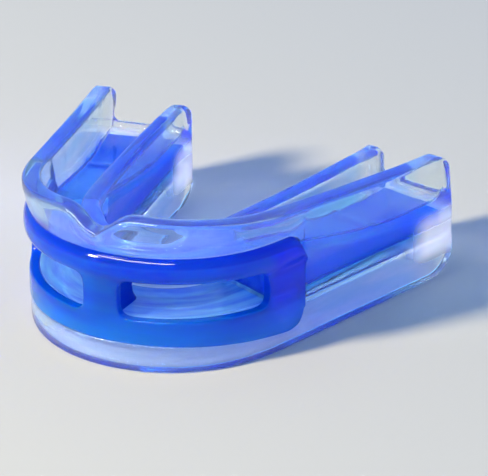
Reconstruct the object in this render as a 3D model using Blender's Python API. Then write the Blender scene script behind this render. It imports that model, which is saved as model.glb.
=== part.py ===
"""Double-arch mouthguard: clear upper and lower trays around a blue breathing shield and bite wedges.

Units are metres, +Z up.  The guard stands on its lower rim.  The incisors face -Y, the two arms run
towards +Y and the object mirrors in the plane X = 0.  The origin is the centre of the footprint.

Every piece is swept along one arch, the outer line of the front shield.  A place on a piece is given
as (s, o, z) in millimetres: s is the distance along the arch from the middle, negative on the left,
o is the distance inwards from the arch, and z is the height above the surface.
"""

import math

import bmesh
import bpy
from mathutils import Vector

MM = 0.001
GAP = 0.3  # clearance between neighbouring pieces

# The arch, as (radius, length) of the stretches from the middle to an arm's end; None is straight.
ARCH = ((21.5, 24.4), (34.5, 5.0), (None, 29.7), (62.0, 6.1))
ARM_END = 65.2
FOOTPRINT_CENTRE_Y = 27.02

# Clear trays
FACE_IN = 0.8  # outer face of the trays, measured in from the arch
WALL = 2.9  # thickness of every flange
RIM_ROUND = 1.25
RIM_LEAN_FRONT, RIM_LEAN_REAR = -0.6, 1.3  # upper rim's outer edge, measured in from the arch
RIM_REAR_Z, RIM_FRONT_EXTRA, RIM_FALL_POWER = 18.8, 6.0, 1.35
NOTCH_DEPTH, NOTCH_WIDTH = 3.2, 3.2  # room for the lip's frenum
DEPTH_FRONT, DEPTH_GROWTH, DEPTH_POWER = 10.6, 5.8, 1.9  # arch to lingual face
LINGUAL_RIM_FRONT_Z, LINGUAL_RIM_REAR_Z = 18.5, 16.8
LINGUAL_LIP = 0.7  # height of the lingual edge behind the incisors
LINGUAL_RISE_START, LINGUAL_RISE_END = 9.0, 16.5
FLOOR_FRONT_Z, FLOOR_REAR_Z = 16.0, 11.3  # biting surface of the upper tray
FLOOR_SLOPE_START, FLOOR_SLOPE_END = 22.0, 56.0
FLOOR_FILLET = 0.6
REAR_LIP_HEIGHT, REAR_LIP_LENGTH = 1.2, 2.0
ROOF_Z = 5.6  # biting surface of the lower tray
BOTTOM_FACE_IN = 0.7
FOOT_FLAT = 0.9  # width of the flat strip that the guard stands on
TOP_CORNER, LINGUAL_CORNER, BOTTOM_CORNER = 3.4, 2.8, 5.2  # rounding of an arm's end, from the side

# Breathing channel between the trays
AIR_FLOOR_Z, AIR_ROOF_Z = 8.0, 14.3
AIR_END = 27.0
PARTING_Z = 8.4  # top of the lower tray along the arms

# Front shield
SHIELD_THICK = 2.2
SHIELD_END, SHIELD_CORNER = 33.0, 3.0
SHIELD_TOP_Z, SHIELD_TOP_END_Z = 17.9, 17.3
SHIELD_BOTTOM_Z, SHIELD_BOTTOM_END_Z = 4.3, 2.2
BEAD_LOW_Z, BEAD_STEP = 14.6, 0.55
WINDOW_FROM, WINDOW_TO = 2.85, 26.4
WINDOW_BOTTOM_Z, WINDOW_TOP_Z, WINDOW_CORNER = 8.1, 14.2, 1.7

# Bite wedges and the divider
WEDGE_FROM, WEDGE_TO = 27.6, 62.6
WEDGE_BOTTOM_Z = 8.7
WEDGE_COVER = 0.5  # clear floor left above a wedge's pocket
WEDGE_SKIN = 1.0  # clear skin left on both sides of a wedge
DIVIDER_HALF_WIDTH = 1.9
DIVIDER_DEPTH = 6.8

CLEAR = (0.66, 0.74, 0.93)
BLUE = (0.01, 0.05, 0.62)
SHARP_ANGLE = math.radians(35.0)


def clear_scene():
    for obj in list(bpy.data.objects):
        bpy.data.objects.remove(obj, do_unlink=True)


def plastic(name, colour, roughness, transmission):
    made = bpy.data.materials.new(name)
    made.use_nodes = True
    shader = made.node_tree.nodes["Principled BSDF"]
    shader.inputs["Base Color"].default_value = (*colour, 1.0)
    shader.inputs["Roughness"].default_value = roughness
    shader.inputs["Metallic"].default_value = 0.0
    shader.inputs["IOR"].default_value = 1.49
    shader.inputs["Transmission Weight"].default_value = transmission
    made.diffuse_color = (*colour, 1.0)
    return made


def clear_plastic():
    return plastic("clear_tray", CLEAR, 0.12, 0.9)


def blue_plastic():
    return plastic("blue_frame", BLUE, 0.2, 0.35)


def ease(x, start, end):
    """0 before start, 1 after end, and smooth between them."""
    t = min(max((x - start) / (end - start), 0.0), 1.0)
    return t * t * (3.0 - 2.0 * t)


def mix(a, b, t):
    return a + (b - a) * t


def arch_point(s):
    """Point on the arch at distance s from the middle, and the unit direction inwards."""
    x = y = angle = 0.0
    left = abs(s)
    for radius, length in ARCH:
        run = left if (radius, length) == ARCH[-1] else min(left, length)
        if radius is None:
            x += run * math.cos(angle)
            y += run * math.sin(angle)
        else:
            turned = angle + run / radius
            x += radius * (math.sin(turned) - math.sin(angle))
            y += radius * (math.cos(angle) - math.cos(turned))
            angle = turned
        left -= run
        if left <= 0.0:
            break
    side = -1.0 if s < 0 else 1.0
    return Vector((side * x, y)), Vector((-side * math.sin(angle), math.cos(angle)))


def place(s, o, z):
    """World position in metres of the arch place (s, o, z)."""
    point, inward = arch_point(s)
    flat = point + inward * o
    return (flat.x * MM, (flat.y - FOOTPRINT_CENTRE_Y) * MM, z * MM)


# Heights and offsets along the arch, all as functions of a = |s|.


def corner_cut(a, end, radius):
    """Height that a rounded corner of this radius, finishing at end, takes off at a."""
    over = min(max(a - (end - radius), 0.0), radius)
    return radius - math.sqrt(radius * radius - over * over)


def rim_z(a):
    fall = max(1.0 - a / (ARM_END + 1.0), 0.0) ** RIM_FALL_POWER
    notch = NOTCH_DEPTH * math.exp(-((a / NOTCH_WIDTH) ** 2))
    return RIM_REAR_Z + RIM_FRONT_EXTRA * fall - notch - corner_cut(a, ARM_END, TOP_CORNER)


def rim_face(a):
    return mix(RIM_LEAN_FRONT, RIM_LEAN_REAR, a / ARM_END)


def lingual_face(a):
    return DEPTH_FRONT + DEPTH_GROWTH * (a / ARM_END) ** DEPTH_POWER


def bite_z(a):
    """Biting surface of the upper tray, without the lip at its rear end."""
    return mix(FLOOR_FRONT_Z, FLOOR_REAR_Z, ease(a, FLOOR_SLOPE_START, FLOOR_SLOPE_END))


def floor_z(a):
    lip = ease(a, ARM_END - REAR_LIP_LENGTH, ARM_END - 0.4 * REAR_LIP_LENGTH)
    return bite_z(a) + REAR_LIP_HEIGHT * lip


def lingual_rim_z(a):
    full = mix(LINGUAL_RIM_FRONT_Z, LINGUAL_RIM_REAR_Z, a / ARM_END)
    full -= corner_cut(a, ARM_END, LINGUAL_CORNER)
    low = bite_z(a) + LINGUAL_LIP
    return mix(low, full, ease(a, LINGUAL_RISE_START, LINGUAL_RISE_END))


def foot_z(a):
    return corner_cut(a, ARM_END, BOTTOM_CORNER)


def shield_top(a):
    line = mix(SHIELD_TOP_Z, SHIELD_TOP_END_Z, ease(a, 0.0, SHIELD_END))
    return line - corner_cut(a, SHIELD_END, SHIELD_CORNER)


def shield_bottom(a):
    line = mix(SHIELD_BOTTOM_Z, SHIELD_BOTTOM_END_Z, (a / SHIELD_END) ** 2)
    return line + corner_cut(a, SHIELD_END, SHIELD_CORNER)


def tray_face(a):
    """Outer face of the trays at mid height: set back where the shield covers them."""
    return SHIELD_THICK + GAP if a < SHIELD_END + GAP else FACE_IN


# Cross-sections, as closed lists of (o, z).


def rounded_edge(outer, inner, z, radius, up):
    """Rounded top (up = 1) or foot (up = -1) of a flange, from its outer face to its inner face."""
    turns = [math.radians(30.0 * k) for k in range(4)]
    reach = [(radius * (1.0 - math.cos(t)), z - up * radius * (1.0 - math.sin(t))) for t in turns]
    return [(outer + d, h) for d, h in reach] + [(inner - d, h) for d, h in reversed(reach)]


def upper_section(s):
    a = abs(s)
    face, lingual, floor = tray_face(a), lingual_face(a), floor_z(a)
    under = AIR_ROOF_Z if a < AIR_END else PARTING_Z + GAP
    ledge = under + 1.0
    if face > FACE_IN:
        ledge = shield_top(min(a, SHIELD_END - SHIELD_CORNER)) + GAP
    rim_out = rim_face(a)
    lip_round = 0.7 * min(RIM_ROUND, lingual_rim_z(a) - floor - 0.05)
    points = [(face, under), (face, ledge), (FACE_IN, ledge + GAP)]
    points += rounded_edge(rim_out, rim_out + WALL, rim_z(a), RIM_ROUND, 1.0)
    points += [(FACE_IN + WALL, floor + FLOOR_FILLET), (FACE_IN + WALL + FLOOR_FILLET, floor)]
    points += [(lingual - WALL - FLOOR_FILLET, floor), (lingual - WALL, floor + 0.4 * lip_round)]
    points += rounded_edge(lingual - WALL, lingual, lingual_rim_z(a), lip_round, 1.0)
    points += [(lingual, under)]
    return points


def lower_section(s):
    a = abs(s)
    face, lingual, foot = tray_face(a), lingual_face(a), foot_z(a)
    top = mix(AIR_FLOOR_Z, PARTING_Z, ease(a, AIR_END - 8.0, AIR_END))
    ledge = top - 0.6
    if face > FACE_IN:
        ledge = shield_bottom(min(a, SHIELD_END - SHIELD_CORNER)) - GAP
    foot_round = 0.5 * (WALL - FOOT_FLAT)
    points = [(lingual, top), (face, top), (face, ledge), (FACE_IN, ledge - GAP)]
    points += rounded_edge(BOTTOM_FACE_IN, BOTTOM_FACE_IN + WALL, foot, foot_round, -1.0)
    points += [(FACE_IN + WALL, ROOF_Z - FLOOR_FILLET), (FACE_IN + WALL + FLOOR_FILLET, ROOF_Z)]
    points += [(lingual - WALL - FLOOR_FILLET, ROOF_Z), (lingual - WALL, ROOF_Z - FLOOR_FILLET)]
    points += rounded_edge(lingual - WALL, lingual, foot, foot_round, -1.0)
    return points


def shield_section(s):
    a = abs(s)
    top, bottom = shield_top(a), shield_bottom(a)
    bead_low = min(BEAD_LOW_Z, top - 2.2)
    return [
        (SHIELD_THICK, bottom),
        (SHIELD_THICK, top),
        (0.9, top),
        (0.25, top - 0.55),
        (0.0, top - 1.2),
        (0.0, bead_low),
        (BEAD_STEP, bead_low - 0.6),
        (BEAD_STEP, bottom + 1.0),
        (BEAD_STEP + 0.3, bottom + 0.3),
        (BEAD_STEP + 0.8, bottom),
    ]


def wedge_box(s, grow):
    """Lowest and highest o and z of a bite wedge, with clearance added all round."""
    a = abs(s)
    outer = tray_face(a) + WEDGE_SKIN - grow
    inner = lingual_face(a) - WEDGE_SKIN + grow
    return outer, inner, WEDGE_BOTTOM_Z - grow, bite_z(a) - WEDGE_COVER - GAP + grow


def wedge_section(s):
    outer, inner, low, high = wedge_box(s, 0.0)
    return [(outer, low), (inner, low), (inner, high), (outer, high)]


def pocket_section(s):
    """The wedge with its clearance, carried down through the parting face so that it opens there."""
    outer, inner, low, high = wedge_box(s, GAP)
    through = low - 1.5
    return [(outer, through), (inner, through), (inner, high), (outer, high)]


# Bodies


def stations(start, end, step, extra=()):
    """Distances along the arch from start to end, at most step apart, with the extra ones added."""
    count = max(math.ceil((end - start) / step), 1)
    found = [start + (end - start) * k / count for k in range(count + 1)]
    found += [s for s in extra if start < s < end]
    kept = []
    for s in sorted(found):
        if not kept or s - kept[-1] > 0.02:
            kept.append(s)
    return kept


def both_sides(distances):
    return [-d for d in distances] + list(distances)


def tray_stations():
    steps = [edge + d for edge in (AIR_END, SHIELD_END + GAP) for d in (-0.05, 0.05)]
    ends = [ARM_END - d for d in (0.15, 0.5, 1.1, 1.8, 2.7, 3.8)]
    notch = [0.9, 1.8, 2.9, 4.1, 5.6]
    return stations(-ARM_END, ARM_END, 2.8, both_sides(steps + ends + notch))


def wedge_stations(side, start, end):
    low, high = sorted((side * start, side * end))
    return stations(low, high, 3.0, both_sides([SHIELD_END + GAP - 0.06, SHIELD_END + GAP + 0.06]))


def joined(name, mesh, finish=None):
    obj = bpy.data.objects.new(name, mesh)
    bpy.context.scene.collection.objects.link(obj)
    if finish is not None:
        mesh.materials.append(finish)
    mesh.shade_smooth()
    mesh.set_sharp_from_angle(angle=SHARP_ANGLE)
    return obj


def bridged(name, rings, finish=None):
    """A closed body through rings of world positions, each with the same number of points."""
    work = bmesh.new()
    loops = [[work.verts.new(point) for point in ring] for ring in rings]
    for one, two in zip(loops, loops[1:]):
        for k in range(len(one)):
            n = (k + 1) % len(one)
            work.faces.new((one[k], one[n], two[n], two[k]))
    work.faces.new(loops[0])
    work.faces.new(reversed(loops[-1]))
    bmesh.ops.recalc_face_normals(work, faces=work.faces)
    bmesh.ops.triangulate(work, faces=work.faces)
    mesh = bpy.data.meshes.new(name)
    work.to_mesh(mesh)
    work.free()
    return joined(name, mesh, finish)


def sweep(name, section, at, finish=None):
    rings = [[place(s, o, z) for o, z in section(s)] for s in at]
    return bridged(name, rings, finish)


def cut(obj, cutter):
    cutter.hide_render = True
    cutter.display_type = "WIRE"
    step = obj.modifiers.new(cutter.name, "BOOLEAN")
    step.operation = "DIFFERENCE"
    step.solver = "EXACT"
    step.object = cutter


def window_outline(side):
    """Rounded rectangle of one breathing window, as a closed list of (s, z)."""
    low, high = sorted((side * WINDOW_FROM, side * WINDOW_TO))
    low, high = low + WINDOW_CORNER, high - WINDOW_CORNER
    bottom, top = WINDOW_BOTTOM_Z + WINDOW_CORNER, WINDOW_TOP_Z - WINDOW_CORNER
    corners = ((high, top, 0), (low, top, 90), (low, bottom, 180), (high, bottom, 270))
    points = []
    for s, z, start in corners:
        for k in range(5):
            turn = math.radians(start + 22.5 * k)
            points.append((s + WINDOW_CORNER * math.cos(turn), z + WINDOW_CORNER * math.sin(turn)))
    dense = []
    for (s0, z0), (s1, z1) in zip(points, points[1:] + points[:1]):
        count = max(round(abs(s1 - s0) / 1.5), 1)
        dense += [(mix(s0, s1, k / count), mix(z0, z1, k / count)) for k in range(count)]
    return dense


def window_cutter(name, side):
    outline = window_outline(side)
    rings = [[place(s, o, z) for s, z in outline] for o in (-1.5, SHIELD_THICK + 1.5)]
    return bridged(name, rings)


def make_front_shield(blue):
    reach = SHIELD_END - 0.02
    corners = both_sides([SHIELD_END - d for d in (2.4, 1.5, 0.7, 0.2)])
    shield = sweep("front_shield", shield_section, stations(-reach, reach, 2.2, corners), blue)
    for label, side in (("left", -1.0), ("right", 1.0)):
        cut(shield, window_cutter(f"{label}_window_cutter", side))


def make_upper_tray(clear):
    tray = sweep("upper_tray", upper_section, tray_stations(), clear)
    for label, side in (("left", -1.0), ("right", 1.0)):
        at = wedge_stations(side, AIR_END - 1.5, WEDGE_TO + GAP)
        cut(tray, sweep(f"{label}_pocket_cutter", pocket_section, at))


def make_lower_tray(clear):
    sweep("lower_tray", lower_section, tray_stations(), clear)


def make_bite_wedges(blue):
    for label, side in (("left", -1.0), ("right", 1.0)):
        at = wedge_stations(side, WEDGE_FROM, WEDGE_TO)
        sweep(f"{label}_bite_wedge", wedge_section, at, blue)


def make_airway_divider(blue):
    """Upright rib behind the shield's middle post, with a half-round end towards the tongue."""
    front = SHIELD_THICK + GAP
    round_centre = front + DIVIDER_DEPTH - DIVIDER_HALF_WIDTH
    outline = [(-DIVIDER_HALF_WIDTH, front), (DIVIDER_HALF_WIDTH, front)]
    for k in range(9):
        turn = math.pi * k / 8.0
        outline.append(
            (DIVIDER_HALF_WIDTH * math.cos(turn), round_centre + DIVIDER_HALF_WIDTH * math.sin(turn))
        )
    heights = (AIR_FLOOR_Z + GAP, AIR_ROOF_Z - GAP)
    rings = [[(x * MM, (y - FOOTPRINT_CENTRE_Y) * MM, z * MM) for x, y in outline] for z in heights]
    bridged("airway_divider", rings, blue)


def main():
    clear_scene()
    clear, blue = clear_plastic(), blue_plastic()
    make_upper_tray(clear)
    make_lower_tray(clear)
    make_front_shield(blue)
    make_bite_wedges(blue)
    make_airway_divider(blue)


main()
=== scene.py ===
"""Looks of the double-arch mouthguard: clear trays, blue shield and wedges, floor, light and camera.

Every piece is rebuilt as a finer mesh round its CAD node.  Lengths in the arch functions are in
millimetres: s runs along the arch from the middle (negative on the left), o inwards, z up.
"""

import math

import bmesh
import bpy
import numpy as np
from mathutils import Matrix, Vector, noise


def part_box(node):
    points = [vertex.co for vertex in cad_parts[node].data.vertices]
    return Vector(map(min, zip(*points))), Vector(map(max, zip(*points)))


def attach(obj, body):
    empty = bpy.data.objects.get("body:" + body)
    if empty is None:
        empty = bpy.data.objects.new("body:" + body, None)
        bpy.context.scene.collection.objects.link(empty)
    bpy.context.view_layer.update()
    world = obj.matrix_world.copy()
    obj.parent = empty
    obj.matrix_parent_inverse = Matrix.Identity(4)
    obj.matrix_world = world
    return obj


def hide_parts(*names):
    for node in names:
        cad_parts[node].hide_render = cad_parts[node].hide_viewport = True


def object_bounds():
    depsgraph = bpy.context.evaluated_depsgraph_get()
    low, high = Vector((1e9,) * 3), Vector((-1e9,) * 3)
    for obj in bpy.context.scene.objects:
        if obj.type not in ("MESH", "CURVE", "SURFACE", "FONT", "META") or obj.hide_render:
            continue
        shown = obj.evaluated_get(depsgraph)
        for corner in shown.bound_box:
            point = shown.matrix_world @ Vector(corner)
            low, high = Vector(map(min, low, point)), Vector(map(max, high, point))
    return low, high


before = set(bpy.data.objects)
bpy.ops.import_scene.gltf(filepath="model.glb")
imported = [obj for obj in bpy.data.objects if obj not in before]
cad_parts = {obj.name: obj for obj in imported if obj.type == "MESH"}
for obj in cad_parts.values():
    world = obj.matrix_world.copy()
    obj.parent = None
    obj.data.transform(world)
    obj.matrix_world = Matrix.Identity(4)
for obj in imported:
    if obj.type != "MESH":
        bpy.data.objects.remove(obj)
CAD_LOW, CAD_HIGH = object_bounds()
MM = 0.001

# The arch, as (radius, length) of the stretches from the middle to an arm's end; None is straight.
ARCH = ((21.5, 24.4), (34.5, 5.0), (None, 29.7), (62.0, 6.1))
ARM_END = 65.2
FRONT_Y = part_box("front_shield")[0].y / MM

WALL = 2.9
FACE_IN = 0.8
RIM_ROUND = 1.3
RIM_LEAN_FRONT, RIM_LEAN_REAR = -0.6, 1.3
RIM_REAR_Z, RIM_FRONT_EXTRA, RIM_FALL_POWER = 18.8, 6.0, 1.35
NOTCH_DEPTH, NOTCH_WIDTH = 3.2, 3.2
DEPTH_FRONT, DEPTH_GROWTH, DEPTH_POWER = 10.6, 5.8, 1.9
LINGUAL_RIM_FRONT_Z, LINGUAL_RIM_REAR_Z = 18.5, 16.8
LINGUAL_LIP = 0.7
LINGUAL_RISE_START, LINGUAL_RISE_END = 9.0, 16.5
FLOOR_FRONT_Z, FLOOR_REAR_Z = 16.0, 11.3
FLOOR_SLOPE_START, FLOOR_SLOPE_END = 22.0, 56.0
REAR_LIP_HEIGHT, REAR_LIP_LENGTH = 1.2, 2.0
RIDGE_AT, RIDGE_WIDTH, RIDGE_HEIGHT = 48.5, 0.7, 0.25
ROOF_Z = 5.6
BOTTOM_FACE_IN = 0.7
TOP_CORNER, LINGUAL_CORNER, BOTTOM_CORNER = 3.4, 2.8, 5.2
END_ROUND = 0.85

AIR_FLOOR_Z, AIR_ROOF_Z = 8.0, 14.3
AIR_END = 27.0
AIR_ROUND = 1.2
AIR_LIP = 0.9  # rise of the airway's floor at its back edge
PARTING_Z = 8.55
BOND = -0.02  # opening between touching faces; below 0 they are pressed into each other

SHIELD_THICK = 2.2
SHIELD_BACK_GAP = -0.02
SHIELD_END, SHIELD_CORNER = 33.0, 3.0
SHIELD_TUCK = 0.35  # how far the shield's ends reach into the trays
SHIELD_TOP_Z, SHIELD_TOP_END_Z = 17.9, 17.3
SHIELD_BOTTOM_Z, SHIELD_BOTTOM_END_Z = 4.3, 2.2
BEAD_LOW_Z, BEAD_STEP = 14.6, 0.55
WINDOW_FROM, WINDOW_TO = 2.85, 26.4
WINDOW_BOTTOM_Z, WINDOW_TOP_Z = 8.1, 14.2
WINDOW_FLOOR_FALL, WINDOW_TOP_FALL = 0.4, 0.8  # towards the outer end of each window

WEDGE_FROM, WEDGE_TO = 27.6, 62.6
WEDGE_BOTTOM_Z = 8.7
WEDGE_COVER = 0.5
WEDGE_TOP_GAP = 0.3
WEDGE_SKIN = 0.8  # clear skin beside a wedge
WEDGE_LEAN = 0.32  # how far the sides lean in, as a share of the height
DIVIDER_HALF_WIDTH, DIVIDER_DEPTH = 1.9, 6.8


def ease(x, start, end):
    t = np.clip((np.asarray(x, float) - start) / (end - start), 0.0, 1.0)
    return t * t * (3.0 - 2.0 * t)


def mix(a, b, t):
    return a + (b - a) * t


def arch_frame(s):
    """Points of the arch at distances s from the middle, and the unit directions inwards, as arrays."""
    s = np.asarray(s, float)
    left = np.abs(s)
    x = np.zeros_like(left)
    y = np.zeros_like(left)
    angle = 0.0
    heading = np.zeros_like(left)
    for index, (radius, length) in enumerate(ARCH):
        last = index == len(ARCH) - 1
        run = left if last else np.minimum(left, length)
        if radius is None:
            x += run * math.cos(angle)
            y += run * math.sin(angle)
        else:
            turned = angle + run / radius
            x += radius * (np.sin(turned) - math.sin(angle))
            y += radius * (math.cos(angle) - np.cos(turned))
            heading = np.where(run > 0.0, turned, heading)
            angle += length / radius
        left = left - run
    side = np.where(s < 0, -1.0, 1.0)
    return side * x, y, -side * np.sin(heading), np.cos(heading)


def place(s, o, z):
    """World positions in metres of arch places, as an (n, 3) array."""
    s, o, z = np.broadcast_arrays(np.asarray(s, float), np.asarray(o, float), np.asarray(z, float))
    x, y, inward_x, inward_y = arch_frame(s)
    return np.stack([x + inward_x * o, y + inward_y * o + FRONT_Y, z], axis=-1) * MM


def corner_cut(a, end, radius):
    over = min(max(a - (end - radius), 0.0), radius)
    return radius - math.sqrt(radius * radius - over * over)


def rim_z(a):
    fall = max(1.0 - a / (ARM_END + 1.0), 0.0) ** RIM_FALL_POWER
    notch = NOTCH_DEPTH * math.exp(-((a / NOTCH_WIDTH) ** 2))
    return RIM_REAR_Z + RIM_FRONT_EXTRA * fall - notch - corner_cut(a, ARM_END, TOP_CORNER)


def rim_face(a):
    return mix(RIM_LEAN_FRONT, RIM_LEAN_REAR, a / ARM_END)


def lingual_face(a):
    return DEPTH_FRONT + DEPTH_GROWTH * (a / ARM_END) ** DEPTH_POWER


def bite_z(a):
    return float(mix(FLOOR_FRONT_Z, FLOOR_REAR_Z, ease(a, FLOOR_SLOPE_START, FLOOR_SLOPE_END)))


def floor_z(a):
    lip = float(ease(a, ARM_END - REAR_LIP_LENGTH, ARM_END - 0.4 * REAR_LIP_LENGTH))
    ridge = RIDGE_HEIGHT * math.exp(-(((a - RIDGE_AT) / RIDGE_WIDTH) ** 2))
    return bite_z(a) + REAR_LIP_HEIGHT * lip + ridge


def lingual_rim_z(a):
    full = mix(LINGUAL_RIM_FRONT_Z, LINGUAL_RIM_REAR_Z, a / ARM_END)
    full -= corner_cut(a, ARM_END, LINGUAL_CORNER)
    low = bite_z(a) + LINGUAL_LIP
    return float(mix(low, full, ease(a, LINGUAL_RISE_START, LINGUAL_RISE_END)))


def shield_top(a):
    line = float(mix(SHIELD_TOP_Z, SHIELD_TOP_END_Z, ease(a, 0.0, SHIELD_END)))
    return line - corner_cut(a, SHIELD_END, SHIELD_CORNER)


def shield_bottom(a):
    line = mix(SHIELD_BOTTOM_Z, SHIELD_BOTTOM_END_Z, (a / SHIELD_END) ** 2)
    return line + corner_cut(a, SHIELD_END, SHIELD_CORNER)


def behind_shield(a):
    """1 where the shield covers the trays and 0 on the bare arms."""
    return 1.0 - float(ease(a, SHIELD_END + 0.02, SHIELD_END + 0.12))


def tray_face(a):
    return mix(FACE_IN, SHIELD_THICK + SHIELD_BACK_GAP, behind_shield(a))


def airway_share(a):
    """1 along the airway, and a rounded end wall down to 0."""
    over = min(max(a - (AIR_END - AIR_ROUND), 0.0), AIR_ROUND)
    return math.sqrt(AIR_ROUND * AIR_ROUND - over * over) / AIR_ROUND


def under_z(a):
    """Underside of the upper tray: the airway's roof, then the parting face."""
    if a <= AIR_END - AIR_ROUND:
        return AIR_ROOF_Z
    if a >= AIR_END:
        return PARTING_Z + 0.5 * BOND
    return AIR_ROOF_Z - AIR_ROUND + AIR_ROUND * airway_share(a)


def top_z(a):
    """Top of the lower tray: the airway's floor, then the parting face."""
    if a <= AIR_END - AIR_ROUND:
        return AIR_FLOOR_Z
    return PARTING_Z - 0.5 * BOND if a >= AIR_END else AIR_FLOOR_Z


# Cross-sections, as closed lists of corners (o, z, rounding radius).


def upper_section(a):
    face, lingual, floor, under = tray_face(a), lingual_face(a), floor_z(a), under_z(a)
    hidden = behind_shield(a)
    shelf = shield_top(min(a, SHIELD_END)) + BOND
    ledge = mix(under + 2.2, shelf, hidden)
    rim_out, rim, inner = rim_face(a), rim_z(a), lingual_rim_z(a)
    lip_round = min(0.95, 0.48 * WALL, max(inner - floor, 0.2))
    return [
        (face, under, 0.12),
        (face, ledge, 0.12),
        (FACE_IN, ledge + 0.02, 0.25),
        (rim_out, rim - RIM_ROUND, 2.5),
        (rim_out, rim, RIM_ROUND),
        (rim_out + WALL, rim, RIM_ROUND),
        (rim_out + WALL, rim - RIM_ROUND, 2.5),
        (FACE_IN + WALL, floor, 0.8),
        (lingual - WALL, floor, 0.8),
        (lingual - WALL, inner, lip_round),
        (lingual, inner, lip_round),
        (lingual, under, 0.12),
    ]


def lower_section(a):
    face, lingual, top = tray_face(a), lingual_face(a), top_z(a)
    back = top + AIR_LIP * float(1.0 - ease(a, AIR_END - 2.0 * AIR_ROUND, AIR_END - AIR_ROUND))
    foot = corner_cut(a, ARM_END, BOTTOM_CORNER)
    hidden = behind_shield(a)
    shelf = shield_bottom(min(a, SHIELD_END)) - BOND
    ledge = mix(top - 1.8, shelf, hidden)
    return [
        (lingual, back, 0.12 + 0.4 * (back - top)),
        (lingual - 2.0, top, 0.12 + 2.0 * (back - top)),
        (face, top, 0.12),
        (face, ledge, 0.12),
        (FACE_IN, ledge - 0.02, 0.25),
        (BOTTOM_FACE_IN, foot + 1.0, 1.5),
        (BOTTOM_FACE_IN, foot, 1.0),
        (BOTTOM_FACE_IN + WALL, foot, 1.0),
        (FACE_IN + WALL, ROOF_Z, 0.8),
        (lingual - WALL, ROOF_Z, 0.8),
        (lingual - WALL, foot, 1.0),
        (lingual, foot, 1.0),
    ]


def wedge_section(a):
    outer = tray_face(a) + WEDGE_SKIN
    inner = lingual_face(a) - WEDGE_SKIN
    low = WEDGE_BOTTOM_Z
    high = bite_z(a) - WEDGE_COVER - WEDGE_TOP_GAP
    lean = WEDGE_LEAN * (high - low)
    return [(outer, low, 0.15), (inner, low, 0.15), (inner - lean, high, 0.8), (outer + lean, high, 0.8)]


def inset(corners, depth):
    """The closed outline moved inwards by depth, corner by corner."""
    if depth <= 0.0:
        return corners
    points = np.array([(o, z) for o, z, _ in corners])
    turn = 0.5 * np.sum(
        points[:, 0] * np.roll(points[:, 1], -1) - points[:, 1] * np.roll(points[:, 0], -1)
    )
    sign = 1.0 if turn > 0 else -1.0
    moved = []
    for k in range(len(points)):
        before, here, after = points[k - 1], points[k], points[(k + 1) % len(points)]
        e0 = (here - before) / max(np.linalg.norm(here - before), 1e-9)
        e1 = (after - here) / max(np.linalg.norm(after - here), 1e-9)
        n0 = sign * np.array([-e0[1], e0[0]])
        n1 = sign * np.array([-e1[1], e1[0]])
        bend = e0[0] * e1[1] - e0[1] * e1[0]
        middle = n0 + n1
        shift = middle / max(np.dot(middle, middle), 0.25) * 2.0
        convex = bend * sign > 0
        radius = corners[k][2]
        radius = max(radius - depth, 0.05) if convex else radius + depth
        o, z = here + shift * depth
        moved.append((o, z, radius))
    return moved


def rounded(corners, bits, spacing):
    """Closed outline of (o, z) points with every corner rounded and long edges divided evenly."""
    points = np.array([(o, z) for o, z, _ in corners])
    count = len(points)
    arcs = []
    for k in range(count):
        here = points[k]
        to_before = points[k - 1] - here
        to_after = points[(k + 1) % count] - here
        length_before, length_after = np.linalg.norm(to_before), np.linalg.norm(to_after)
        before, after = to_before / max(length_before, 1e-9), to_after / max(length_after, 1e-9)
        half = max(0.5 * math.acos(float(np.clip(np.dot(before, after), -1.0, 1.0))), 0.02)
        reach = corners[k][2] / max(math.tan(half), 1e-3)
        reach = min(reach, 0.49 * length_before, 0.49 * length_after)
        radius = reach * math.tan(half)
        across = before + after
        size = np.linalg.norm(across)
        if size < 1e-3 or radius > 500.0:
            arcs.append([
                here + before * reach * (1 - t) + after * reach * t for t in np.linspace(0, 1, bits)
            ])
            continue
        centre = here + across / size * radius / math.sin(half)
        v0, v1 = here + before * reach - centre, here + after * reach - centre
        sweep_angle = math.pi - 2.0 * half
        arc = []
        for t in np.linspace(0, 1, bits):
            if sweep_angle < 1e-3:
                arc.append(centre + v0 * (1 - t) + v1 * t)
                continue
            w0 = math.sin((1 - t) * sweep_angle) / math.sin(sweep_angle)
            w1 = math.sin(t * sweep_angle) / math.sin(sweep_angle)
            arc.append(centre + v0 * w0 + v1 * w1)
        arcs.append(arc)
    outline = []
    for k in range(count):
        outline += arcs[k]
        start, end = arcs[k][-1], arcs[(k + 1) % count][0]
        for j in range(1, spacing[k]):
            outline.append(start + (end - start) * j / spacing[k])
    return np.array(outline)


def even_stations(start, end, step, extra=()):
    count = max(math.ceil((end - start) / step), 1)
    found = [start + (end - start) * k / count for k in range(count + 1)]
    found += [s for s in extra if start < s < end]
    kept = []
    for s in sorted(found):
        if not kept or s - kept[-1] > 0.012:
            kept.append(s)
    return kept


def round_end(a, end, radius):
    """How far a section shrinks near a rounded end."""
    over = min(max(a - (end - radius), 0.0), radius)
    return radius - math.sqrt(max(radius * radius - over * over, 0.0))


def end_steps(end, radius):
    return [end - radius * (1.0 - math.sin(math.radians(t))) for t in range(0, 90, 12)]


def mirrored(distances):
    return [-d for d in distances] + list(distances)


def wobble(points, amount, size, seed):
    """Small smooth unevenness of a moulded surface at each point, in metres."""
    offset = Vector((seed * 7.3, seed * 3.1, seed * 1.7))
    return np.array([noise.noise(Vector(p) / (size * MM) + offset) for p in points]) * amount * MM


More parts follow.
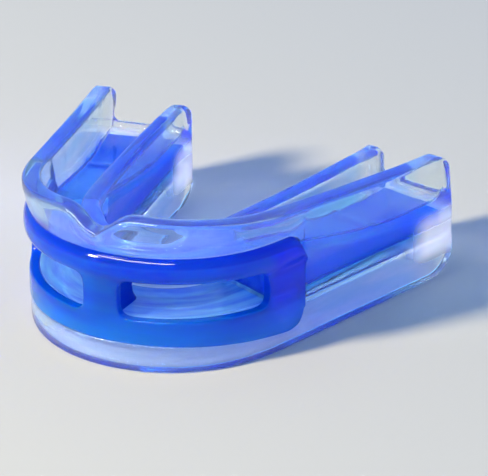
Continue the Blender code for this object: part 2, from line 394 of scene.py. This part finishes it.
def mesh_object(name, points, faces):
    mesh = bpy.data.meshes.new(name)
    mesh.from_pydata([tuple(p) for p in points], [], faces)
    work = bmesh.new()
    work.from_mesh(mesh)
    bmesh.ops.recalc_face_normals(work, faces=work.faces)
    work.to_mesh(mesh)
    work.free()
    mesh.shade_smooth()
    obj = bpy.data.objects.new(name, mesh)
    bpy.context.scene.collection.objects.link(obj)
    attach(obj, "root")
    return obj


LAYERS = ("along", "depth", "height", "above")  # arch place in mm; above is over the bite or shield top


def add_layer(obj, label, values):
    layer = obj.data.attributes.new(label, "FLOAT", "POINT")
    layer.data.foreach_set("value", np.asarray(values, np.float32))


def bridged(ring_count, per):
    """Four-sided faces between neighbouring rings of per points each."""
    faces = []
    for ring in range(ring_count - 1):
        base = ring * per
        for k in range(per):
            n = (k + 1) % per
            faces.append((base + k, base + n, base + per + n, base + per + k))
    return faces


MERGE_WITHIN = 0.005  # nearly straight corners stack points closer than this, in mm


def merge_points(mesh):
    """Joins points that coincide, so that no face is left without area."""
    work = bmesh.new()
    work.from_mesh(mesh)
    bmesh.ops.remove_doubles(work, verts=work.verts, dist=MERGE_WITHIN * MM)
    bmesh.ops.dissolve_degenerate(work, edges=work.edges, dist=0.2 * MERGE_WITHIN * MM)
    bmesh.ops.recalc_face_normals(work, faces=work.faces)
    work.to_mesh(mesh)
    work.free()
    mesh.update()


def swept(name, section, stations, spacing, end=None, end_radius=0.0, bits=6, uneven=0.03):
    """A closed body swept along the arch; its two ends are rounded over when end_radius is set."""
    rings = []
    arch_places = []
    for s in stations:
        a = abs(s)
        corners = section(a)
        if end_radius:
            shrink = round_end(a, end[1], end_radius)
            if end[0] is not None:
                shrink = max(shrink, round_end(end[0] + end[1] - a, end[1], end_radius))
            corners = inset(corners, shrink)
        outline = rounded(corners, bits, spacing)
        rings.append(place(s, outline[:, 0], outline[:, 1]))
        above = outline[:, 1] - bite_z(a)
        arch_places.append(np.column_stack([np.full(len(outline), s), outline, above]))
    per = len(rings[0])
    points = np.concatenate(rings)
    faces = bridged(len(rings), per)
    faces.append(tuple(range(per)))
    faces.append(tuple(reversed(range(len(points) - per, len(points)))))
    obj = mesh_object(name, points, faces)
    places = np.concatenate(arch_places)
    for column, label in enumerate(LAYERS):
        add_layer(obj, label, places[:, column])
    merge_points(obj.data)
    if uneven:
        points = np.array([v.co for v in obj.data.vertices])
        normals = np.array([v.normal for v in obj.data.vertices])
        lift = wobble(points, uneven, 5.0, 1.0) + wobble(points, 0.4 * uneven, 1.8, 2.0)
        moved = points + normals * (lift - 1.1 * uneven * MM)[:, None]
        moved[:, 2] = np.maximum(moved[:, 2], 0.0)
        obj.data.vertices.foreach_set("co", moved.astype(np.float32).ravel())
        obj.data.update()
    work = bmesh.new()
    work.from_mesh(obj.data)
    bmesh.ops.triangulate(work, faces=[f for f in work.faces if len(f.verts) > 4])
    work.to_mesh(obj.data)
    work.free()
    return obj


def make_trays():
    steps = [SHIELD_END + 0.07 + d for d in (-0.06, -0.03, 0.0, 0.03, 0.06)]
    air = [AIR_END - AIR_ROUND * (1.0 - math.sin(math.radians(t))) for t in range(0, 90, 15)]
    air += [AIR_END - 0.004 + d for d in (0.0, 0.02)]
    at = even_stations(-ARM_END, ARM_END, 0.7, mirrored(steps + air + end_steps(ARM_END, END_ROUND)))
    upper = swept(
        "upper_tray_clear", upper_section, at, (2, 1, 3, 1, 1, 1, 4, 4, 2, 1, 5, 6),
        (None, ARM_END), END_ROUND,
    )
    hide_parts("upper_tray")
    lower = swept(
        "lower_tray_clear", lower_section, at, (2, 5, 1, 1, 5, 1, 1, 3, 4, 3, 1, 5),
        (None, ARM_END), END_ROUND,
    )
    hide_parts("lower_tray")
    return upper, lower


def make_wedges():
    made = []
    for label, side in (("left", -1.0), ("right", 1.0)):
        low, high = sorted((side * WEDGE_FROM, side * WEDGE_TO))
        steps = end_steps(WEDGE_TO, 0.5)
        steps += [WEDGE_FROM + WEDGE_TO - d for d in steps]
        steps += [SHIELD_END, SHIELD_END + 0.07, SHIELD_END + 0.14]
        at = even_stations(low, high, 1.0, mirrored(steps))
        wedge = swept(
            f"{label}_bite_wedge_blue", wedge_section, at, (8, 3, 8, 3),
            (WEDGE_FROM, WEDGE_TO), 0.5, uneven=0.0,
        )
        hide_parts(f"{label}_bite_wedge")
        made.append(wedge)
    return made


def make_shield():
    """Cage of the shield in two layers with the windows left out, rounded by subdivision."""
    columns = [0.0, 1.5, WINDOW_FROM]
    columns += [mix(WINDOW_FROM, WINDOW_TO, k / 8.0) for k in range(1, 8)]
    columns += [WINDOW_TO, 28.4, 30.2, 31.4, 32.2, 32.75, SHIELD_END, SHIELD_END + SHIELD_TUCK]
    columns = sorted({round(c, 4) for c in mirrored(columns)})

    def row_places(a):
        """(z, front o) of each row at this distance along the arch."""
        top, bottom = shield_top(min(a, SHIELD_END)), shield_bottom(min(a, SHIELD_END))
        crown = top - 0.9
        out = min(a / WINDOW_TO, 1.0) ** 2
        low, high = WINDOW_BOTTOM_Z - WINDOW_FLOOR_FALL * out, WINDOW_TOP_Z - WINDOW_TOP_FALL * out
        under_bead = BEAD_LOW_Z + 0.15 - WINDOW_TOP_FALL * out
        places = [
            (bottom, BEAD_STEP + 0.25),
            (bottom + 0.3, BEAD_STEP),
            (bottom + 1.2, BEAD_STEP),
            (low, BEAD_STEP),
            (0.5 * (low + high), BEAD_STEP),
            (high - 0.15, BEAD_STEP),
            (min(under_bead, crown - 0.4), -0.02),
            (crown, 0.0),
            (top - 0.12, 0.75),
            (top, 1.2),
        ]
        for k in (3, 4, 5):
            z, o = places[k]
            z = min(z, places[6][0] - 0.35 * (6 - k))
            places[k] = (max(z, bottom + 1.2 + 0.4 * (k - 2)), o)
        return places

    points, spots, index = [], [], {}

    def vertex(key, position, spot):
        if key not in index:
            index[key] = len(points)
            points.append(position)
            spots.append(spot)
        return index[key]

    front, back = {}, {}
    for i, s in enumerate(columns):
        a = abs(s)
        for j, (z, o) in enumerate(row_places(a)):
            above = z - shield_top(min(a, SHIELD_END))
            front[i, j] = vertex(("f", i, j), place(s, o, z), (s, o, z, above))
            back[i, j] = vertex(("b", i, j), place(s, SHIELD_THICK, z), (s, SHIELD_THICK, z, above))
    row_count = len(row_places(0.0))

    def is_window(i, j):
        middle = abs(0.5 * (columns[i] + columns[i + 1]))
        return WINDOW_FROM < middle < WINDOW_TO and j in (3, 4)

    cells = {(i, j) for i in range(len(columns) - 1) for j in range(row_count - 1) if not is_window(i, j)}
    faces = []
    edges = {}
    for i, j in cells:
        loop = [(i, j), (i + 1, j), (i + 1, j + 1), (i, j + 1)]
        faces.append([front[key] for key in loop])
        faces.append([back[key] for key in reversed(loop)])
        for one, two in zip(loop, loop[1:] + loop[:1]):
            edges.setdefault(frozenset((one, two)), []).append((one, two))
    for found in edges.values():
        if len(found) != 1:
            continue
        one, two = found[0]

        def wall(key):
            f, b = np.array(points[front[key]]), np.array(points[back[key]])
            spot = spots[front[key]]
            return [
                front[key],
                vertex(("w", key, 0), f + (b - f) * 0.18, spot),
                vertex(("w", key, 1), f + (b - f) * 0.82, spot),
                back[key],
            ]

        first, second = wall(one), wall(two)
        for k in range(3):
            faces.append([second[k], first[k], first[k + 1], second[k + 1]])
    shield = mesh_object("front_shield_blue", points, faces)
    for column, label in enumerate(LAYERS):
        add_layer(shield, label, [spot[column] for spot in spots])
    rounding = shield.modifiers.new("rounding", "SUBSURF")
    rounding.levels = rounding.render_levels = 3
    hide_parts("front_shield")
    return shield


def make_divider():
    """Upright rib with a half-round end, flared where it meets the airway's floor and roof."""
    front = SHIELD_THICK + SHIELD_BACK_GAP
    centre = front + DIVIDER_DEPTH - DIVIDER_HALF_WIDTH
    heights = [AIR_FLOOR_Z + BOND + t * (AIR_ROOF_Z - AIR_FLOOR_Z - 2 * BOND) for t in
               (0.0, 0.02, 0.06, 0.12, 0.2, 0.35, 0.5, 0.65, 0.8, 0.88, 0.94, 0.98, 1.0)]
    middle = 0.5 * (AIR_FLOOR_Z + AIR_ROOF_Z)
    half = 0.5 * (AIR_ROOF_Z - AIR_FLOOR_Z)
    rings = []
    for z in heights:
        pinch = 0.35 * (1.0 - (abs(z - middle) / half) ** 4)
        width = DIVIDER_HALF_WIDTH - pinch
        outline = [(-width + 0.15, front), (0.0, front), (width - 0.15, front), (width, front + 0.15)]
        outline += [(width, mix(front, centre, t)) for t in (0.35, 0.7)]
        for k in range(17):
            turn = math.pi * k / 16.0
            outline.append((width * math.cos(turn), centre - pinch + width * math.sin(turn)))
        outline += [(-width, mix(front, centre, t)) for t in (0.7, 0.35)]
        outline.append((-width, front + 0.15))
        rings.append(np.array([(x * MM, (y + FRONT_Y) * MM, z * MM) for x, y in outline]))
    per = len(rings[0])
    points = np.concatenate(rings)
    faces = bridged(len(rings), per)
    faces.append(tuple(reversed(range(per))))
    faces.append(tuple(range(len(points) - per, len(points))))
    rib = mesh_object("airway_divider_blue", points, faces)
    rib.data.set_sharp_from_angle(angle=math.radians(50.0))
    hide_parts("airway_divider")
    return rib


# Materials


def node(tree, kind, **values):
    made = tree.nodes.new(kind)
    for key, value in values.items():
        setattr(made, key, value)
    return made


def band(tree, value, low, high, soft):
    """1 where value lies between low and high, fading over soft at both ends."""
    rise = node(tree, "ShaderNodeMapRange", interpolation_type="SMOOTHSTEP")
    rise.inputs["From Min"].default_value = low - soft
    rise.inputs["From Max"].default_value = low
    fall = node(tree, "ShaderNodeMapRange", interpolation_type="SMOOTHSTEP")
    fall.inputs["From Min"].default_value = high
    fall.inputs["From Max"].default_value = high + soft
    fall.inputs["To Min"].default_value = 1.0
    fall.inputs["To Max"].default_value = 0.0
    product = node(tree, "ShaderNodeMath", operation="MULTIPLY")
    for index, made in enumerate((rise, fall)):
        tree.links.new(value, made.inputs["Value"])
        tree.links.new(made.outputs["Result"], product.inputs[index])
    return product.outputs[0]


def combined(tree, one, two, operation="MULTIPLY"):
    """Two outputs joined by a Math node."""
    made = node(tree, "ShaderNodeMath", operation=operation)
    tree.links.new(one, made.inputs[0])
    tree.links.new(two, made.inputs[1])
    return made.outputs[0]


def distance_along(tree):
    """Distance from the middle of the arch, the same on both sides."""
    made = node(tree, "ShaderNodeMath", operation="ABSOLUTE")
    tree.links.new(attribute(tree, "along"), made.inputs[0])
    return made.outputs[0]


def attribute(tree, name):
    return node(tree, "ShaderNodeAttribute", attribute_name=name).outputs["Fac"]


def noise_texture(tree, scale, detail, distortion=0.0):
    coordinates = node(tree, "ShaderNodeTexCoord")
    made = node(tree, "ShaderNodeTexNoise")
    made.inputs["Scale"].default_value = scale
    made.inputs["Detail"].default_value = detail
    made.inputs["Distortion"].default_value = distortion
    tree.links.new(coordinates.outputs["Object"], made.inputs["Vector"])
    return made.outputs["Fac"]


def arch_coordinates(tree):
    """Vector (along, depth, height) of the arch, in millimetres."""
    joined = node(tree, "ShaderNodeCombineXYZ")
    for index, name in enumerate(("along", "depth", "height")):
        tree.links.new(attribute(tree, name), joined.inputs[index])
    return joined.outputs[0]


def streak_texture(tree, along, across, seed):
    """Streaks along the arch, as the flow of the plastic leaves them."""
    stretched = node(tree, "ShaderNodeMapping")
    stretched.inputs["Location"].default_value = (seed, 2.0 * seed, 3.0 * seed)
    stretched.inputs["Scale"].default_value = (along, across, across)
    made = node(tree, "ShaderNodeTexNoise")
    made.inputs["Scale"].default_value = 1.0
    made.inputs["Detail"].default_value = 3.0
    tree.links.new(arch_coordinates(tree), stretched.inputs["Vector"])
    tree.links.new(stretched.outputs["Vector"], made.inputs["Vector"])
    return ranged(tree, made.outputs["Fac"], 0.0, 1.0, 0.35, 0.65)


def mixed_colour(tree, factor, one, two):
    """Colour between one and two; each is a constant or an output."""
    made = node(tree, "ShaderNodeMix", data_type="RGBA")
    tree.links.new(factor, made.inputs["Factor"])
    for name, value in (("A", one), ("B", two)):
        socket = [i for i in made.inputs if i.name == name and i.type == "RGBA"][0]
        if isinstance(value, tuple):
            socket.default_value = (*value, 1.0)
        else:
            tree.links.new(value, socket)
    return [o for o in made.outputs if o.type == "RGBA"][0]


def ranged(tree, value, low, high, start=0.0, end=1.0):
    """Number from low, where value is start, to high, where it is end; each is a constant or an output."""
    made = node(tree, "ShaderNodeMapRange")
    made.inputs["From Min"].default_value = start
    made.inputs["From Max"].default_value = end
    for name, number in (("To Min", low), ("To Max", high)):
        if isinstance(number, float):
            made.inputs[name].default_value = number
        else:
            tree.links.new(number, made.inputs[name])
    tree.links.new(value, made.inputs["Value"])
    return made.outputs["Result"]


GLOSS_SCALE, PEEL_SCALE = 260.0, 900.0  # noise cells per metre
PEEL_HEIGHT = 0.08 * MM
BUMP = 0.08


def moulded_finish(tree, shader, roughness_low, roughness_high):
    """Uneven gloss and a faint orange-peel surface, as soft moulded plastic has."""
    gloss = noise_texture(tree, GLOSS_SCALE, 3.0)
    tree.links.new(ranged(tree, gloss, roughness_low, roughness_high), shader.inputs["Roughness"])
    peel = noise_texture(tree, PEEL_SCALE, 2.0, 0.4)
    lifted = node(tree, "ShaderNodeBump")
    lifted.inputs["Strength"].default_value = BUMP
    lifted.inputs["Distance"].default_value = PEEL_HEIGHT
    tree.links.new(peel, lifted.inputs["Height"])
    tree.links.new(lifted.outputs["Normal"], shader.inputs["Normal"])


def absorbing(tree, colour, density):
    absorb = node(tree, "ShaderNodeVolumeAbsorption")
    absorb.inputs["Color"].default_value = (*colour, 1.0)
    absorb.inputs["Density"].default_value = density
    tree.links.new(absorb.outputs[0], tree.nodes["Material Output"].inputs["Volume"])


CLEAR_TINT, CLEAR_TINT_DEEP = (0.98, 0.98, 0.95), (0.58, 0.82, 0.93)
LINING_TINT, LINING_TINT_PALE = (0.004, 0.16, 0.90), (0.12, 0.50, 1.0)
OVER_CORE_TINT = (0.08, 0.56, 0.90)
# The warm whitish rear tint paints a sunlit glow on the arm ends.
REAR_GLOW_TINT = (1.0, 0.97, 0.88)
# The haze tint makes a milky band along the front; on the lower tray that band is a painted highlight.
HAZE_AND_HIGHLIGHT_TINT = (0.70, 0.80, 0.95)
CLEAR_THROUGH, LINING_THROUGH, REAR_GLOW_THROUGH = 0.975, 0.60, 0.55
CLEAR_IOR, SHIELD_IOR, CORE_IOR = 1.40, 1.34, 1.0  # chosen for looks; the core bends no light


def scatter(shader, radius, scale):
    shader.inputs["Subsurface Weight"].default_value = 1.0
    shader.inputs["Subsurface Radius"].default_value = radius
    shader.inputs["Subsurface Scale"].default_value = scale


def clear_material(name, low_z, high_z, haze_and_highlight_low, haze_and_highlight_high, haze_and_highlight_through):
    """Clear plastic: blue where it lines the airway, between the two heights, milky in a band along the
    front that on the lower tray is a painted highlight band, and with a painted warm sunlit glow at the arm
    ends.
    """
    made = bpy.data.materials.new(name)
    made.use_nodes = True
    tree = made.node_tree
    shader = tree.nodes["Principled BSDF"]
    shader.inputs["IOR"].default_value = CLEAR_IOR
    far, height = distance_along(tree), attribute(tree, "height")
    cloud = streak_texture(tree, 0.08, 0.5, 1.0)
    base = mixed_colour(tree, cloud, CLEAR_TINT, CLEAR_TINT_DEEP)
    outside = band(tree, height, WEDGE_BOTTOM_Z - 0.2, 11.0, 1.5)
    channel_floor = combined(
        tree,
        band(tree, attribute(tree, "above"), -0.8, 0.2, 0.3),
        band(tree, attribute(tree, "depth"), 3.6, 30.0, 0.4),
    )
    over_core = combined(
        tree,
        band(tree, far, 27.0, 58.0, 4.0),
        combined(tree, outside, channel_floor, "MAXIMUM"),
    )
    # Painted sunlit glow: the arm ends take a warm white tint, and low down they are also milkier.
    end = band(tree, far, 59.5, 70.0, 5.0)
    rear_glow = combined(tree, end, band(tree, height, 5.5, 8.6, 3.0))
    # Milky band along the front; low on the lower tray it is a painted highlight band.
    haze_and_highlight = combined(tree, band(tree, far, -1.0, 30.0, 8.0), band(tree, height, haze_and_highlight_low, haze_and_highlight_high, 1.2))
    lining = combined(
        tree,
        band(tree, far, -1.0, 27.5, 2.0),
        band(tree, height, low_z, high_z, 0.15),
    )
    base = mixed_colour(tree, over_core, base, OVER_CORE_TINT)
    base = mixed_colour(tree, haze_and_highlight, base, HAZE_AND_HIGHLIGHT_TINT)
    base = mixed_colour(tree, end, base, REAR_GLOW_TINT)
    lining_colour = mixed_colour(tree, streak_texture(tree, 0.07, 0.75, 3.0), LINING_TINT, LINING_TINT_PALE)
    share = ranged(tree, lining, 0.0, 0.85)
    tree.links.new(mixed_colour(tree, share, base, lining_colour), shader.inputs["Base Color"])
    see_through = ranged(tree, cloud, CLEAR_THROUGH + 0.02, CLEAR_THROUGH - 0.02)
    for mask, value in ((haze_and_highlight, haze_and_highlight_through), (rear_glow, REAR_GLOW_THROUGH), (share, LINING_THROUGH)):
        see_through = ranged(tree, mask, see_through, value)
    tree.links.new(see_through, shader.inputs["Transmission Weight"])
    scatter(shader, (0.7, 0.85, 1.0), 0.005)
    moulded_finish(tree, shader, 0.01, 0.05)
    absorbing(tree, (0.12, 0.60, 1.0), 75.0)
    return made


SHIELD_END_BLUE = (0.0003, 0.08, 0.95)


def blue_material(name, ior, transmission, density, spread, colours, is_core=False):
    """Blue plastic in a deep, a common and a pale colour; the pale one is for the lower band or core top,
    and the deep one also paints shade on the shield's top shoulder.
    """
    deep_and_shade, common, pale = colours
    made = bpy.data.materials.new(name)
    made.use_nodes = True
    tree = made.node_tree
    shader = tree.nodes["Principled BSDF"]
    shader.inputs["IOR"].default_value = ior
    cloud = streak_texture(tree, 0.06, 0.3, 2.0)
    colour = mixed_colour(tree, cloud, deep_and_shade, common)
    height, above = attribute(tree, "height"), attribute(tree, "above")
    through = ranged(tree, cloud, transmission - 0.05, transmission + 0.05)
    if is_core:
        rise = ranged(tree, height, 0.0, 1.0, WEDGE_BOTTOM_Z + 0.5, WEDGE_BOTTOM_Z + 4.5)
        through = ranged(tree, rise, through, transmission + 0.2)
    else:
        rise = ranged(tree, height, 0.8, 0.0, 3.5, 8.5)
        near_end = band(tree, distance_along(tree), 28.0, 40.0, 3.0)
        colour = mixed_colour(tree, near_end, colour, SHIELD_END_BLUE)
    colour = mixed_colour(tree, rise, colour, pale)
    if not is_core:
        # Painted shade: the shield's top shoulder is darkened to the deep blue.
        colour = mixed_colour(tree, band(tree, above, -0.9, 1.0, 0.5), colour, deep_and_shade)
    tree.links.new(colour, shader.inputs["Base Color"])
    tree.links.new(through, shader.inputs["Transmission Weight"])
    scatter(shader, (0.03, 0.3, 1.0), spread)
    moulded_finish(tree, shader, 0.02, 0.07)
    absorbing(tree, (0.02, 0.60, 0.99), density)
    return made


FLOOR_GREY = 0.56


def floor_material():
    made = bpy.data.materials.new("pale_floor")
    made.use_nodes = True
    shader = made.node_tree.nodes["Principled BSDF"]
    shader.inputs["Base Color"].default_value = (FLOOR_GREY, FLOOR_GREY, FLOOR_GREY, 1.0)
    shader.inputs["Roughness"].default_value = 0.9
    shader.inputs["Specular IOR Level"].default_value = 0.1
    return made


def dress(obj, material):
    obj.data.materials.clear()
    obj.data.materials.append(material)


# Stage


def make_stage():
    bpy.ops.mesh.primitive_plane_add(size=6.0, location=(0.0, 0.0, CAD_LOW.z - 0.02 * MM))
    floor = bpy.context.object
    floor.name = "floor"
    dress(floor, floor_material())


CAMERA_AZIMUTH, CAMERA_ELEVATION, CAMERA_ROLL = 30.136, 25.541, -1.169
CAMERA_DISTANCE = 0.5003
CAMERA_LENS, SENSOR = 256.15, 36.0
AIM = Vector((0.0, -5.02 * MM, 12.0 * MM))
AIM_RIGHT, AIM_UP = 9.99 * MM, -0.94 * MM


def make_camera():
    """Looks at the guard from its front right; the aim sits right of it, as the picture frames it."""
    azimuth, elevation, roll = (
        math.radians(v) for v in (CAMERA_AZIMUTH, CAMERA_ELEVATION, CAMERA_ROLL)
    )
    back = Vector((
        math.sin(azimuth) * math.cos(elevation),
        -math.cos(azimuth) * math.cos(elevation),
        math.sin(elevation),
    ))
    right = Vector((math.cos(azimuth), math.sin(azimuth), 0.0))
    up = back.cross(right)
    turned_right = right * math.cos(roll) + up * math.sin(roll)
    turned_up = up * math.cos(roll) - right * math.sin(roll)
    position = AIM + back * CAMERA_DISTANCE
    target = AIM + turned_right * AIM_RIGHT + turned_up * AIM_UP
    view_back = (position - target).normalized()
    view_right = (turned_right - view_back * turned_right.dot(view_back)).normalized()
    view_up = view_back.cross(view_right)
    data = bpy.data.cameras.new("camera")
    data.lens = CAMERA_LENS
    data.sensor_width = SENSOR
    data.clip_start, data.clip_end = 0.01, 20.0
    camera = bpy.data.objects.new("camera", data)
    bpy.context.scene.collection.objects.link(camera)
    turn = Matrix((view_right, view_up, view_back)).transposed()
    camera.matrix_world = Matrix.Translation(position) @ turn.to_4x4()
    bpy.context.scene.camera = camera


def make_light(name, direction, distance, size, power, colour, receivers=(), blockers=()):
    """Disk lamp.  Given receivers, it lights only those, unreflected, and only the blockers shade it."""
    data = bpy.data.lights.new(name, "AREA")
    data.shape = "DISK"
    data.size = size
    data.energy = power
    data.color = colour
    lamp = bpy.data.objects.new(name, data)
    bpy.context.scene.collection.objects.link(lamp)
    away = Vector(direction).normalized()
    lamp.location = away * distance
    lamp.rotation_mode = "QUATERNION"
    lamp.rotation_quaternion = away.to_track_quat("Z", "Y")
    if not receivers:
        return lamp
    lamp.visible_glossy = False
    for label, members in (("receiver", receivers), ("blocker", blockers)):
        group = bpy.data.collections.new(f"{name}_{label}s")
        for member in members:
            group.objects.link(member)
        setattr(lamp.light_linking, f"{label}_collection", group)
    return lamp


GLASS_BOUNCES = 24
INDIRECT_CLAMP = 30.0  # the default of 10 cuts the small key lamp's light inside the plastic
HORIZON, ZENITH = (0.34, 0.76, 1.28), (0.25, 0.385, 0.71)
SUN_SIDE, RIGHT_SIDE = (-0.503, -0.705, 0.5), (1.0, -0.35, 0.35)


def make_lights(clear, blue):
    """Key, highlight strip and sky for everything, and three soft lamps for the object alone.

    Those three stand in for sunlight scattered inside the plastic, so the clear pieces don't shade them.
    """
    make_light("key", SUN_SIDE, 1.0, 0.14, 19.2, (1.0, 0.87, 0.53))
    make_light("key_inside", SUN_SIDE, 1.0, 0.5, 7.0, (1.0, 0.95, 0.80), clear + blue, blue)
    make_light("fill_clear", RIGHT_SIDE, 0.8, 0.9, 9.0, (1.0, 0.94, 0.80), clear, blue)
    make_light("fill_blue", RIGHT_SIDE, 0.8, 0.9, 3.0, (0.30, 0.75, 1.0), blue, blue)
    strip = make_light("strip", (-0.05, -0.62, 0.78), 1.0, 0.9, 18.0, (1.0, 1.0, 1.0))
    strip.data.shape, strip.data.size_y = "RECTANGLE", 0.22
    strip.visible_diffuse = False
    world = bpy.data.worlds.new("studio")
    world.use_nodes = True
    tree = world.node_tree
    direction = node(tree, "ShaderNodeTexCoord")
    parts = node(tree, "ShaderNodeSeparateXYZ")
    rise = node(tree, "ShaderNodeMapRange", interpolation_type="SMOOTHSTEP")
    rise.inputs["From Max"].default_value = 0.55
    tree.links.new(direction.outputs["Generated"], parts.inputs[0])
    tree.links.new(parts.outputs["Z"], rise.inputs["Value"])
    colour = mixed_colour(tree, rise.outputs["Result"], HORIZON, ZENITH)
    tree.links.new(colour, tree.nodes["Background"].inputs["Color"])
    bpy.context.scene.world = world


def main():
    upper, lower = make_trays()
    wedges = make_wedges()
    shield = make_shield()
    rib = make_divider()
    dress(upper, clear_material("clear_gel_upper", AIR_ROOF_Z - 0.5, FLOOR_FRONT_Z + 0.25, 17.5, 21.0, 0.95))
    # The lower tray's milky band, 1.8 to 3.2 mm up, is a painted highlight band.
    dress(lower, clear_material("clear_gel_lower", AIR_FLOOR_Z - 0.5, AIR_FLOOR_Z + 1.0, 1.8, 3.2, 0.90))
    shield_blue = blue_material(
        "blue_shield_plastic", SHIELD_IOR, 0.7, 220.0, 0.005,
        ((0.0005, 0.06, 0.58), (0.002, 0.20, 0.80), (0.01, 0.32, 1.0)),
    )
    for piece in (shield, rib):
        dress(piece, shield_blue)
    core_blue = blue_material(
        "blue_core_plastic", CORE_IOR, 0.55, 150.0, 0.006,
        ((0.001, 0.05, 0.60), (0.003, 0.15, 0.70), (0.01, 0.38, 0.85)), is_core=True,
    )
    for piece in wedges:
        dress(piece, core_blue)
    make_stage()
    make_camera()
    make_lights([upper, lower], [shield, rib, *wedges])
    scene = bpy.context.scene
    scene.view_settings.view_transform = "Standard"
    scene.cycles.max_bounces = scene.cycles.transmission_bounces = GLASS_BOUNCES
    scene.cycles.sample_clamp_indirect = INDIRECT_CLAMP


main()
